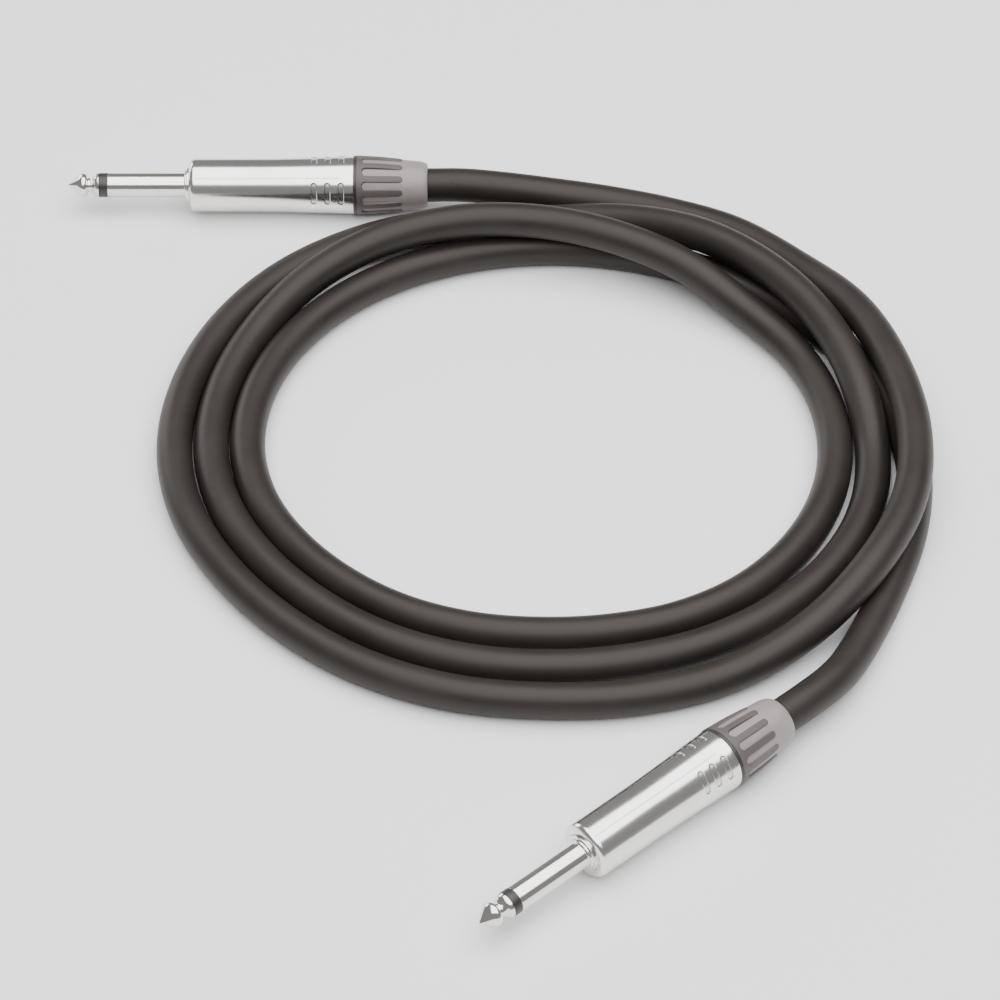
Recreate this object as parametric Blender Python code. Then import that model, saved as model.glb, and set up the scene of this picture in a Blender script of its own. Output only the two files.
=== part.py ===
"""Instrument cable: 1.8 m of heavy round cable lying in a flat coil of three turns, with a straight
two-pole 6.35 mm plug on each end. Each plug is built as it is assembled on a bench: finger, insulators,
terminals, soldered wires, liner, shell, seal, cable collet and a screwed gland nut with a soft grip.

Lengths are in metres and +Z is up. The floor is z = 0. A plug is modelled along its own +Z, which
runs from the point of the tip towards the cable, and an empty then lays it on the floor."""

import math

import bmesh
import bpy
from mathutils import Matrix, Vector

# ---- Cable and coil -------------------------------------------------------------------------------
CABLE_RADIUS = 0.0044
CLEARANCE = 0.0003
COIL_CENTRE = Vector((0.0325, 0.0252, 0.0))
COIL_STATIONS = 48
COIL_EDGE = 0.0025

# The winding, clockwise from above: turn (whole turns start at +Y), radius and height of the centreline.
# It starts on top at the right, winds inwards, and its inner end dives out underneath everything.
WINDING = (
    (0.125, 0.0929, 0.0076),
    (0.150, 0.0920, 0.0102),
    (0.180, 0.0910, 0.0125),
    (0.210, 0.0904, 0.0134),
    (0.250, 0.0912, 0.0135),
    (0.300, 0.0922, 0.0134),
    (0.330, 0.0916, 0.0126),
    (0.365, 0.0902, 0.0090),
    (0.400, 0.0886, 0.0054),
    (0.440, 0.0868, 0.0044),
    (0.500, 0.0841, 0.0044),
    (0.625, 0.0848, 0.0044),
    (0.750, 0.0903, 0.0044),
    (0.875, 0.0926, 0.0044),
    (1.000, 0.0868, 0.0046),
    (1.040, 0.0855, 0.0086),
    (1.080, 0.0836, 0.0126),
    (1.120, 0.0824, 0.0134),
    (1.160, 0.0816, 0.0128),
    (1.205, 0.0810, 0.0106),
    (1.250, 0.0816, 0.0052),
    (1.290, 0.0814, 0.0044),
    (1.375, 0.0782, 0.0044),
    (1.500, 0.0734, 0.0044),
    (1.625, 0.0751, 0.0044),
    (1.750, 0.0812, 0.0044),
    (1.800, 0.0826, 0.0044),
    (1.870, 0.0836, 0.0084),
    (1.920, 0.0824, 0.0116),
    (1.960, 0.0796, 0.0133),
    (2.000, 0.0766, 0.0136),
    (2.040, 0.0740, 0.0130),
    (2.080, 0.0727, 0.0112),
    (2.120, 0.0725, 0.0072),
    (2.150, 0.0734, 0.0047),
    (2.180, 0.0738, 0.0044),
    (2.210, 0.0732, 0.0044),
    (2.250, 0.0724, 0.0044),
    (2.375, 0.0680, 0.0044),
    (2.500, 0.0626, 0.0044),
    (2.625, 0.0656, 0.0044),
    (2.750, 0.0722, 0.0044),
    (2.875, 0.0753, 0.0044),
    (3.000, 0.0768, 0.0044),
    (3.080, 0.0790, 0.0044),
    (3.140, 0.0826, 0.0044),
    (3.200, 0.0876, 0.0044),
    (3.250, 0.0912, 0.0044),
    (3.320, 0.0944, 0.0044),
    (3.342, 0.0966, 0.0044),
    (3.360, 0.0996, 0.0048),
    (3.376, 0.1026, 0.0059),
)
COIL_TURN_END = 3.368
# The strand to plug B leaves the coil at a slant, so its square end keeps a little further away.
LEAD_B_TURN = 3.3712

# ---- Plugs ----------------------------------------------------------------------------------------
PLUG_LENGTH = 0.0935
AXIS_HEIGHT = 0.00775
# Where each plug's rear end is, seen from the coil's centre, and the way its tip points.
REAR_A = Vector((-0.0289, 0.0979, AXIS_HEIGHT))
REAR_B = Vector((0.0546, -0.0932, AXIS_HEIGHT))
POINTS_A = Vector((-1.0, 0.0, 0.0))
POINTS_B = Vector((-0.7415, -0.6710, 0.0)).normalized()
# How far each plug lies rolled about its own axis.
ROLL_A = math.radians(7.5)
ROLL_B = math.radians(-8.2)

# The cable between each plug and the coil, seen from the coil's centre.
LEAD_A = (
    (-0.0110, 0.0977, 0.0070),
    (0.0030, 0.0970, 0.0054),
    (0.0180, 0.0948, 0.0045),
    (0.0340, 0.0898, 0.0047),
    (0.0500, 0.0813, 0.0058),
)
LEAD_B = ((0.0674, -0.0805, 0.0071),)
STRAIGHT_EXIT = 0.0090
JACKET_END = 0.0620

FINGER_RADIUS = 0.003175
BARREL_START = 0.0105
SHOULDER = 0.0305
ROD_RADIUS = 0.0011
TUBE_BORE = ROD_RADIUS + CLEARANCE
TUBE_RADIUS = 0.0020
BARREL_BORE = TUBE_RADIUS + CLEARANCE
COLLAR_RADII = (0.0039, 0.00465)
COLLAR_LENGTH = 0.0005
SHELL_START = 0.0316
SHELL_END = 0.0739
SHELL_WALL_FRONT = 0.0012
SHELL_BORE_FRONT = 0.0063
SHELL_BORE_REAR = 0.00675
SHELL_BORE_STEP = 0.0650
SEAL_RADIUS = AXIS_HEIGHT
CABLE_BORE = 0.00475
NUT_START = 0.0753
NUT_SKIRT_START = 0.0690
NUT_SKIRT_RADIUS = 0.00645
NUT_SKIRT_BORE = 0.00585
GRIP_FINGERS = 12
GRIP_HALF_ANGLE = math.radians(6.7)

SIDES = 24
SHELL_SIDES = 36


# ---- Helpers --------------------------------------------------------------------------------------
def clear_scene():
    for old in list(bpy.data.objects):
        bpy.data.objects.remove(old, do_unlink=True)


def make_finish(name, colour, roughness, metallic):
    finish = bpy.data.materials.new(name)
    finish.use_nodes = True
    shader = finish.node_tree.nodes["Principled BSDF"]
    shader.inputs["Base Color"].default_value = (*colour, 1.0)
    shader.inputs["Roughness"].default_value = roughness
    shader.inputs["Metallic"].default_value = metallic
    return finish


def add_object(name, shape, finish, parent=None):
    """Turns a bmesh into a named object with outward faces and smooth round sides."""
    bmesh.ops.recalc_face_normals(shape, faces=shape.faces)
    mesh = bpy.data.meshes.new(name)
    shape.to_mesh(mesh)
    shape.free()
    mesh.shade_smooth()
    mesh.set_sharp_from_angle(angle=math.radians(35.0))
    mesh.materials.append(finish)
    made = bpy.data.objects.new(name, mesh)
    bpy.context.collection.objects.link(made)
    made.parent = parent
    return made


def turned(name, outline, finish, plug, sides=SIDES):
    """A body turned about the plug's axis. The outline lists (distance from the tip, radius). It is
    closed round a bore, or open where it starts and ends on the axis."""
    shape = bmesh.new()
    corners = [shape.verts.new((radius, 0.0, along)) for along, radius in outline]
    pairs = list(zip(corners, corners[1:]))
    if outline[0][1] > 0.0:
        pairs.append((corners[-1], corners[0]))
    edges = [shape.edges.new(pair) for pair in pairs]
    bmesh.ops.spin(
        shape,
        geom=corners + edges,
        cent=(0.0, 0.0, 0.0),
        axis=(0.0, 0.0, 1.0),
        angle=math.tau,
        steps=sides,
        use_merge=True,
    )
    bmesh.ops.remove_doubles(shape, verts=shape.verts, dist=1e-6)
    return add_object(name, shape, finish, plug)


def block_shape(low, high):
    """A box between two corners, as a bmesh."""
    shape = bmesh.new()
    size = [b - a for a, b in zip(low, high)]
    middle = [(a + b) / 2 for a, b in zip(low, high)]
    matrix = Matrix.Translation(middle) @ Matrix.Diagonal((*size, 1.0))
    bmesh.ops.create_cube(shape, size=1.0, matrix=matrix)
    return shape


def use_tool(target, tool, operation):
    """Adds a Boolean to the target and hides the tool that it uses."""
    tool.hide_render = True
    tool.display_type = "WIRE"
    boolean = target.modifiers.new(tool.name, "BOOLEAN")
    boolean.operation = operation
    boolean.solver = "EXACT"
    boolean.object = tool


def tube(name, points, radius, finish, parent=None):
    """A round cord with filled ends, through the points given."""
    curve = bpy.data.curves.new(name, "CURVE")
    curve.dimensions = "3D"
    curve.bevel_depth = radius
    curve.bevel_resolution = 3
    curve.use_fill_caps = True
    spline = curve.splines.new("POLY")
    spline.points.add(len(points) - 1)
    for slot, point in zip(spline.points, points):
        slot.co = (*point, 1.0)
    curve.materials.append(finish)
    made = bpy.data.objects.new(name, curve)
    bpy.context.collection.objects.link(made)
    made.parent = parent
    return made


# ---- The route of the cable -----------------------------------------------------------------------
def level_slopes(turns, values):
    """Slopes of a smooth curve that never swings past its own values, so nothing dips into the floor."""
    gaps = [b - a for a, b in zip(turns, turns[1:])]
    rises = [(b - a) / gap for a, b, gap in zip(values, values[1:], gaps)]
    slopes = [rises[0]]
    for i in range(1, len(gaps)):
        if rises[i - 1] * rises[i] <= 0.0:
            slopes.append(0.0)
            continue
        before = 2 * gaps[i] + gaps[i - 1]
        after = gaps[i] + 2 * gaps[i - 1]
        slopes.append((before + after) / (before / rises[i - 1] + after / rises[i]))
    slopes.append(rises[-1])
    return slopes


def smooth_value(turn, turns, values, slopes):
    """The smooth curve's value at a turn."""
    k = max(i for i in range(len(turns) - 1) if turns[i] <= turn + 1e-9)
    gap = turns[k + 1] - turns[k]
    s = min((turn - turns[k]) / gap, 1.0)
    return (
        (2 * s**3 - 3 * s**2 + 1) * values[k]
        + (s**3 - 2 * s**2 + s) * gap * slopes[k]
        + (3 * s**2 - 2 * s**3) * values[k + 1]
        + (s**3 - s**2) * gap * slopes[k + 1]
    )


TURNS, RADII, HEIGHTS = zip(*WINDING)
RADIUS_SLOPES = level_slopes(TURNS, RADII)
HEIGHT_SLOPES = level_slopes(TURNS, HEIGHTS)


def wound(turn):
    """Radius and height of the winding's centreline at a turn."""
    radius = smooth_value(turn, TURNS, RADII, RADIUS_SLOPES)
    height = smooth_value(turn, TURNS, HEIGHTS, HEIGHT_SLOPES)
    return radius, height


def wound_point(turn):
    radius, height = wound(turn)
    angle = math.tau * turn
    return COIL_CENTRE + Vector((radius * math.sin(angle), radius * math.cos(angle), height))


def smooth_route(points, spacing):
    """Points every so far along a smooth curve through the route's own points."""
    tangents = []
    for i in range(len(points)):
        before = points[max(i - 1, 0)]
        after = points[min(i + 1, len(points) - 1)]
        tangents.append((after - before).normalized())
    route = []
    for a, b, out, into in zip(points, points[1:], tangents, tangents[1:]):
        reach = (b - a).length
        steps = max(round(reach / spacing), 1)
        for step in range(steps):
            s = step / steps
            route.append(
                (2 * s**3 - 3 * s**2 + 1) * a
                + (s**3 - 2 * s**2 + s) * reach * out
                + (3 * s**2 - 2 * s**3) * b
                + (s**3 - s**2) * reach * into
            )
    route.append(points[-1])
    return route


# ---- The cable ------------------------------------------------------------------------------------
def cable_lead(letter, rear, points_to, middle, coil_turn, finish):
    """The stretch from the cable's end inside a plug to the coil."""
    start = COIL_CENTRE + rear
    inside = PLUG_LENGTH - JACKET_END
    points = [
        start + points_to * inside,
        start + points_to * inside / 2,
        start,
        start - points_to * STRAIGHT_EXIT,
    ]
    points += [COIL_CENTRE + Vector(point) for point in middle]
    points.append(wound_point(coil_turn))
    return tube(f"cable_lead_{letter}", smooth_route(points, 0.018), CABLE_RADIUS, finish)


def coil_section(angle, turns):
    """The corners of the coil's outer shape where the given turns pass, as (radius, height)."""
    passes = [wound(turn) for turn in turns]
    inner = min(radius for radius, height in passes) - CABLE_RADIUS
    outer = max(radius for radius, height in passes) + CABLE_RADIUS
    top = max(height for radius, height in passes) + CABLE_RADIUS
    edge = COIL_EDGE
    corners = (
        (inner, edge),
        (inner + edge, 0.0),
        (outer - edge, 0.0),
        (outer, edge),
        (outer, top - edge),
        (outer - edge, top),
        (inner + edge, top),
        (inner, top - edge),
    )
    return [
        COIL_CENTRE + Vector((radius * math.sin(angle), radius * math.cos(angle), height))
        for radius, height in corners
    ]


def cable_coil(finish):
    """One closed ring with the outer shape of the whole coil. It steps out where the strand from plug A
    joins it, and back in where the strand to plug B leaves it."""
    first = WINDING[0][0] + 0.0012
    last = COIL_TURN_END
    step = 0.0006
    places = [station / COIL_STATIONS for station in range(COIL_STATIONS)]
    places += [first - step, first, last % 1.0, last % 1.0 + step]
    shape = bmesh.new()
    sections = []
    for place in sorted(places):
        turns = [place + whole for whole in range(4) if first <= place + whole <= last]
        corners = coil_section(math.tau * place, turns)
        sections.append([shape.verts.new(corner) for corner in corners])
    for section, following in zip(sections, sections[1:] + sections[:1]):
        for k in range(len(section)):
            after = (k + 1) % len(section)
            shape.faces.new((section[k], section[after], following[after], following[k]))
    return add_object("cable_coil", shape, finish)


# ---- The pieces of a plug -------------------------------------------------------------------------
def tip_contact(letter, plug, finish):
    """Pointed tip with a rounded shoulder, waist and bell, in one piece with the rod through the plug."""
    outline = (
        (0.0000, 0.0),
        (0.0003, 0.0008),
        (0.0012, 0.0017),
        (0.0022, 0.0025),
        (0.0030, 0.0030),
        (0.0036, 0.0031),
        (0.0045, 0.0027),
        (0.0050, 0.0020),
        (0.0056, 0.00185),
        (0.0064, 0.0022),
        (0.0074, 0.0029),
        (0.0079, 0.00315),
        (0.0079, ROD_RADIUS),
        (0.0434, ROD_RADIUS),
        (0.0434, 0.0019),
        (0.0444, 0.0017),
        (0.0444, 0.0),
    )
    return turned(f"tip_contact_{letter}", outline, finish, plug)


def tip_insulator(letter, plug, finish):
    """The ring seen behind the tip, and the tube that lines the finger."""
    outline = (
        (0.0082, TUBE_BORE),
        (0.0082, FINGER_RADIUS),
        (BARREL_START - CLEARANCE, FINGER_RADIUS),
        (BARREL_START - CLEARANCE, TUBE_RADIUS),
        (0.0399, TUBE_RADIUS),
        (0.0399, TUBE_BORE),
    )
    return turned(f"tip_insulator_{letter}", outline, finish, plug)


def sleeve(letter, plug, finish):
    """The finger's barrel, its two collars, and the flange and boss that are held inside the shell."""
    small, large = COLLAR_RADII
    outline = (
        (BARREL_START, BARREL_BORE),
        (BARREL_START, FINGER_RADIUS),
        (SHOULDER, FINGER_RADIUS),
        (SHOULDER, small),
        (SHOULDER + COLLAR_LENGTH, small),
        (SHOULDER + COLLAR_LENGTH, large),
        (SHELL_START + SHELL_WALL_FRONT + CLEARANCE, large),
        (SHELL_START + SHELL_WALL_FRONT + CLEARANCE, 0.0060),
        (0.0360, 0.0060),
        (0.0360, 0.0045),
        (0.0390, 0.0045),
        (0.0390, BARREL_BORE),
    )
    return turned(f"sleeve_{letter}", outline, finish, plug)


def shell(letter, plug, finish):
    """The housing: a chamfered front, a straight body and a gentle flare to the rear."""
    outline = (
        (SHELL_START, COLLAR_RADII[1] + CLEARANCE),
        (SHELL_START, 0.0058),
        (0.0321, 0.0067),
        (0.0327, 0.00693),
        (0.0500, 0.00695),
        (0.0590, 0.00710),
        (0.0657, 0.00728),
        (0.0702, 0.00740),
        (SHELL_END, 0.00755),
        (SHELL_END, SHELL_BORE_REAR),
        (SHELL_BORE_STEP, SHELL_BORE_REAR),
        (SHELL_BORE_STEP, SHELL_BORE_FRONT),
        (SHELL_START + SHELL_WALL_FRONT, SHELL_BORE_FRONT),
        (SHELL_START + SHELL_WALL_FRONT, COLLAR_RADII[1] + CLEARANCE),
    )
    return turned(f"shell_{letter}", outline, finish, plug, SHELL_SIDES)


def seal_ring(letter, plug, finish):
    """The dark ring between shell and gland nut."""
    outline = (
        (SHELL_END + CLEARANCE, SHELL_BORE_REAR),
        (SHELL_END + CLEARANCE, SEAL_RADIUS),
        (NUT_START - CLEARANCE, SEAL_RADIUS),
        (NUT_START - CLEARANCE, SHELL_BORE_REAR),
    )
    return turned(f"seal_ring_{letter}", outline, finish, plug, SHELL_SIDES)


def shell_liner(letter, plug, finish):
    """The insulating tube between the solder joints and the shell."""
    outline = ((0.0402, 0.0056), (0.0402, 0.0060), (0.0647, 0.0060), (0.0647, 0.0056))
    return turned(f"shell_liner_{letter}", outline, finish, plug)


def rear_insulator(letter, plug, finish):
    """The washer that keeps the two terminals apart."""
    outline = ((0.0402, TUBE_BORE), (0.0402, 0.0043), (0.0422, 0.0043), (0.0422, TUBE_BORE))
    return turned(f"rear_insulator_{letter}", outline, finish, plug)


def tip_terminal(letter, plug, finish):
    """The short solder lug riveted to the rod."""
    outline = ((0.0425, TUBE_BORE), (0.0425, 0.0029), (0.0431, 0.0029), (0.0431, TUBE_BORE))
    lug = turned(f"tip_terminal_{letter}", outline, finish, plug)
    strip = block_shape((0.0023, -0.0012, 0.0425), (0.0028, 0.0012, 0.0520))
    tool = add_object(f"tip_terminal_strip_{letter}", strip, finish, plug)
    use_tool(lug, tool, "UNION")
    return lug


def ground_terminal(letter, plug, finish):
    """The long lug under the finger's boss, which ends in an open clamp round the cable's jacket."""
    outline = (
        (0.0393, BARREL_BORE),
        (0.0393, 0.0050),
        (0.0399, 0.0050),
        (0.0399, BARREL_BORE),
    )
    lug = turned(f"ground_terminal_{letter}", outline, finish, plug)
    strip = block_shape((-0.0051, -0.0016, 0.0393), (-0.0047, 0.0016, 0.0640))
    strip_tool = add_object(f"ground_strip_{letter}", strip, finish, plug)
    clamp = bmesh.new()
    start = Matrix.Rotation(math.radians(45.0), 4, "Z")
    corners = ((0.00475, 0.0626), (0.0052, 0.0626), (0.0052, 0.0645), (0.00475, 0.0645))
    section = [clamp.verts.new(start @ Vector((r, 0.0, along))) for r, along in corners]
    face = clamp.faces.new(section)
    bmesh.ops.spin(
        clamp,
        geom=section + list(face.edges) + [face],
        cent=(0.0, 0.0, 0.0),
        axis=(0.0, 0.0, 1.0),
        angle=math.radians(270.0),
        steps=15,
    )
    clamp_tool = add_object(f"ground_clamp_{letter}", clamp, finish, plug)
    use_tool(lug, strip_tool, "UNION")
    use_tool(lug, clamp_tool, "UNION")
    return lug


def solder_joint(name, plug, centre, radii, finish):
    """A rounded drop of solder on a lug."""
    shape = bmesh.new()
    matrix = Matrix.Translation(centre) @ Matrix.Diagonal((*radii, 1.0))
    bmesh.ops.create_uvsphere(shape, u_segments=12, v_segments=8, radius=1.0, matrix=matrix)
    return add_object(name, shape, finish, plug)


def inner_wires(letter, plug, core_finish, braid_finish):
    """The insulated core to the tip's lug, and the twisted screen to the ground lug."""
    start = JACKET_END - CLEARANCE
    core = [
        Vector((0.0, 0.0, start)),
        Vector((0.0002, 0.0, 0.0590)),
        Vector((0.0009, 0.0, 0.0555)),
        Vector((0.0010, 0.0, 0.0526)),
    ]
    braid = [
        Vector((-0.0028, 0.0, start)),
        Vector((-0.0030, 0.0, 0.0595)),
        Vector((-0.0035, 0.0, 0.0570)),
        Vector((-0.0036, 0.0, 0.0551)),
    ]
    tube(f"inner_core_{letter}", smooth_route(core, 0.0015), 0.0011, core_finish, plug)
    tube(f"shield_pigtail_{letter}", smooth_route(braid, 0.0015), 0.0007, braid_finish, plug)


def cable_collet(letter, plug, finish):
    """The slotted collet that the nut squeezes round the cable."""
    outline = (
        (0.0663, CABLE_BORE),
        (0.0663, 0.00595),
        (0.0683, 0.00595),
        (0.0683, 0.0055),
        (0.0760, 0.0055),
        (0.0840, 0.0051),
        (0.0840, CABLE_BORE),
    )
    collet = turned(f"cable_collet_{letter}", outline, finish, plug)
    for number, (wide, deep) in enumerate(((0.0004, 0.0070), (0.0070, 0.0004))):
        slot = block_shape((-wide, -deep, 0.0720), (wide, deep, 0.0850))
        tool = add_object(f"collet_slot_{number}_{letter}", slot, finish, plug)
        use_tool(collet, tool, "DIFFERENCE")
    return collet


def gland_nut(letter, plug, finish):
    """The nut that screws into the shell: a skirt inside it, and a tapered boot with a rounded rim."""
    outline = (
        (NUT_SKIRT_START, NUT_SKIRT_BORE),
        (NUT_SKIRT_START, NUT_SKIRT_RADIUS),
        (NUT_START, NUT_SKIRT_RADIUS),
        (NUT_START, 0.0066),
        (0.0780, 0.0066),
        (0.0869, 0.0063),
        (0.0872, 0.0065),
        (0.0885, 0.0064),
        (0.0903, 0.00615),
        (0.0919, 0.0059),
        (0.0930, 0.0055),
        (PLUG_LENGTH, 0.0052),
        (PLUG_LENGTH, CABLE_BORE),
        (0.0851, CABLE_BORE),
        (0.0845, 0.0054),
        (0.0760, NUT_SKIRT_BORE),
    )
    return turned(f"gland_nut_{letter}", outline, finish, plug, SHELL_SIDES)


def nut_grip(letter, plug, finish):
    """The soft grip on the nut: a ring with raised fingers that thin out towards the cable."""
    rows = (
        (NUT_START, 0.0077, 0.0069),
        (0.0770, 0.00768, 0.0069),
        (0.0820, 0.0073, 0.00675),
        (0.0860, 0.0069, 0.00662),
        (0.0869, 0.0068, 0.0066),
    )
    half = GRIP_HALF_ANGLE
    pitch = math.tau / GRIP_FINGERS
    inward = {}
    shape = bmesh.new()

    def corner(along, outer, inner, angle):
        made = shape.verts.new((outer * math.cos(angle), outer * math.sin(angle), along))
        inward[made] = Vector((inner * math.cos(angle), inner * math.sin(angle), along))
        return made

    columns = [
        finger * pitch + offset for finger in range(GRIP_FINGERS) for offset in (-half, 0.0, half)
    ]
    ring = [[corner(*row, angle) for angle in columns] for row in rows[:2]]
    faces = []
    for k in range(len(columns)):
        after = (k + 1) % len(columns)
        faces.append(shape.faces.new((ring[0][k], ring[0][after], ring[1][after], ring[1][k])))
    for finger in range(GRIP_FINGERS):
        below = ring[1][3 * finger : 3 * finger + 3]
        for row in rows[2:]:
            spread = half if row is not rows[-1] else 0.6 * half
            angles = (finger * pitch - spread, finger * pitch, finger * pitch + spread)
            above = [corner(*row, angle) for angle in angles]
            for k in range(2):
                faces.append(shape.faces.new((below[k], below[k + 1], above[k + 1], above[k])))
            below = above
    outer = list(shape.verts)
    places = [inward[vertex] for vertex in outer]
    copied = bmesh.ops.duplicate(shape, geom=outer + list(shape.edges) + faces)
    inner_of = {vertex: copied["vert_map"][vertex] for vertex in outer}
    for vertex, place in zip(outer, places):
        inner_of[vertex].co = place
    for edge in [e for e in shape.edges if e.is_boundary and e.verts[0] in inner_of]:
        a, b = edge.verts
        shape.faces.new((a, b, inner_of[b], inner_of[a]))
    return add_object(f"nut_grip_{letter}", shape, finish, plug)


def lay_plug(letter, rear, points_to, roll):
    """The empty at the tip's point that lays a plug on the floor. Its Z runs along the plug's axis, from
    the tip to the cable, and its X points up before the roll."""
    along = -points_to
    up = Vector((0.0, 0.0, 1.0))
    side = along.cross(up)
    plug = bpy.data.objects.new(f"plug_{letter}_axis", None)
    bpy.context.collection.objects.link(plug)
    place = COIL_CENTRE + rear + points_to * PLUG_LENGTH
    laid = Matrix((up, side, along)).transposed().to_4x4()
    plug.matrix_world = Matrix.Translation(place) @ laid @ Matrix.Rotation(roll, 4, "Z")
    return plug


def build_plug(letter, rear, points_to, roll, finishes):
    plug = lay_plug(letter, rear, points_to, roll)
    tip_contact(letter, plug, finishes["nickel"])
    tip_insulator(letter, plug, finishes["black"])
    sleeve(letter, plug, finishes["nickel"])
    shell(letter, plug, finishes["shell"])
    seal_ring(letter, plug, finishes["black"])
    shell_liner(letter, plug, finishes["liner"])
    rear_insulator(letter, plug, finishes["liner"])
    tip_terminal(letter, plug, finishes["brass"])
    ground_terminal(letter, plug, finishes["brass"])
    tip_centre = (0.00115, 0.0, 0.0500)
    ground_centre = (-0.0036, 0.0, 0.0530)
    solder_joint(f"tip_solder_{letter}", plug, tip_centre, (0.0008, 0.0011, 0.0022), finishes["solder"])
    solder_joint(f"ground_solder_{letter}", plug, ground_centre, (0.0007, 0.0012, 0.0018), finishes["solder"])
    inner_wires(letter, plug, finishes["core"], finishes["copper"])
    cable_collet(letter, plug, finishes["liner"])
    gland_nut(letter, plug, finishes["boot"])
    nut_grip(letter, plug, finishes["grip"])


def main():
    clear_scene()
    finishes = {
        "jacket": make_finish("cable_jacket", (0.030, 0.026, 0.023), 0.45, 0.0),
        "nickel": make_finish("contact_nickel", (0.72, 0.70, 0.66), 0.16, 1.0),
        "shell": make_finish("shell_nickel", (0.74, 0.73, 0.70), 0.24, 1.0),
        "black": make_finish("insulator_black", (0.025, 0.024, 0.022), 0.5, 0.0),
        "liner": make_finish("liner_plastic", (0.55, 0.54, 0.52), 0.5, 0.0),
        "brass": make_finish("terminal_brass", (0.70, 0.55, 0.30), 0.35, 1.0),
        "solder": make_finish("solder", (0.62, 0.62, 0.61), 0.3, 1.0),
        "core": make_finish("core_insulation", (0.75, 0.74, 0.70), 0.5, 0.0),
        "copper": make_finish("shield_copper", (0.75, 0.42, 0.28), 0.4, 1.0),
        "boot": make_finish("nut_grey", (0.38, 0.34, 0.335), 0.45, 0.0),
        "grip": make_finish("grip_dark_grey", (0.17, 0.145, 0.14), 0.6, 0.0),
    }
    build_plug("a", REAR_A, POINTS_A, ROLL_A, finishes)
    build_plug("b", REAR_B, POINTS_B, ROLL_B, finishes)
    cable_coil(finishes["jacket"])
    cable_lead("a", REAR_A, POINTS_A, LEAD_A, WINDING[0][0], finishes["jacket"])
    cable_lead("b", REAR_B, POINTS_B, LEAD_B, LEAD_B_TURN, finishes["jacket"])


main()
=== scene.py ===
"""Looks of the instrument cable: the cable along the CAD's route, fine plug parts in place of the plain CAD
ones, procedural materials, a pale floor, soft studio light and the camera.

Lengths are in metres. Each plug part is turned about the plug's own +Z, which runs from the point of the tip
towards the cable, and is then laid in the plug's frame."""

import math

import bmesh
import bpy
from mathutils import Matrix, Vector


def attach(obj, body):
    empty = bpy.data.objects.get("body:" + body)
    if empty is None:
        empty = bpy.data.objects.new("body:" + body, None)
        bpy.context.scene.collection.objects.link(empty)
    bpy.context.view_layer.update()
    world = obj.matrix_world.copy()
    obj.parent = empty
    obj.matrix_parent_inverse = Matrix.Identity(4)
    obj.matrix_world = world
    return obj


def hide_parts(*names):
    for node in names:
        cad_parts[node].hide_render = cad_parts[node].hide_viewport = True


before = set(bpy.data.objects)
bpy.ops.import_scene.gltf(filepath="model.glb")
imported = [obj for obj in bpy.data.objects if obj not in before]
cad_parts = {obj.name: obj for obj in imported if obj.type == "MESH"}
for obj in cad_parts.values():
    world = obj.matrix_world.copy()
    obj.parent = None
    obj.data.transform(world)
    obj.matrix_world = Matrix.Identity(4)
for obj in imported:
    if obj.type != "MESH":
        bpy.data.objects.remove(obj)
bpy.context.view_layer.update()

# ---- The cable's facts and route, as in the CAD -----------------------------------------------------
CABLE_RADIUS = 0.0044
COIL_CENTRE = Vector((0.0325, 0.0252, 0.0))
PLUG_LENGTH = 0.0935
AXIS_HEIGHT = 0.00775
REAR_A = Vector((-0.0289, 0.0979, AXIS_HEIGHT))
REAR_B = Vector((0.0546, -0.0932, AXIS_HEIGHT))
POINTS_A = Vector((-1.0, 0.0, 0.0))
POINTS_B = Vector((-0.7415, -0.6710, 0.0)).normalized()
# How far each plug lies rolled about its own axis.
ROLL_A = math.radians(7.5)
ROLL_B = math.radians(-8.2)

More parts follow.
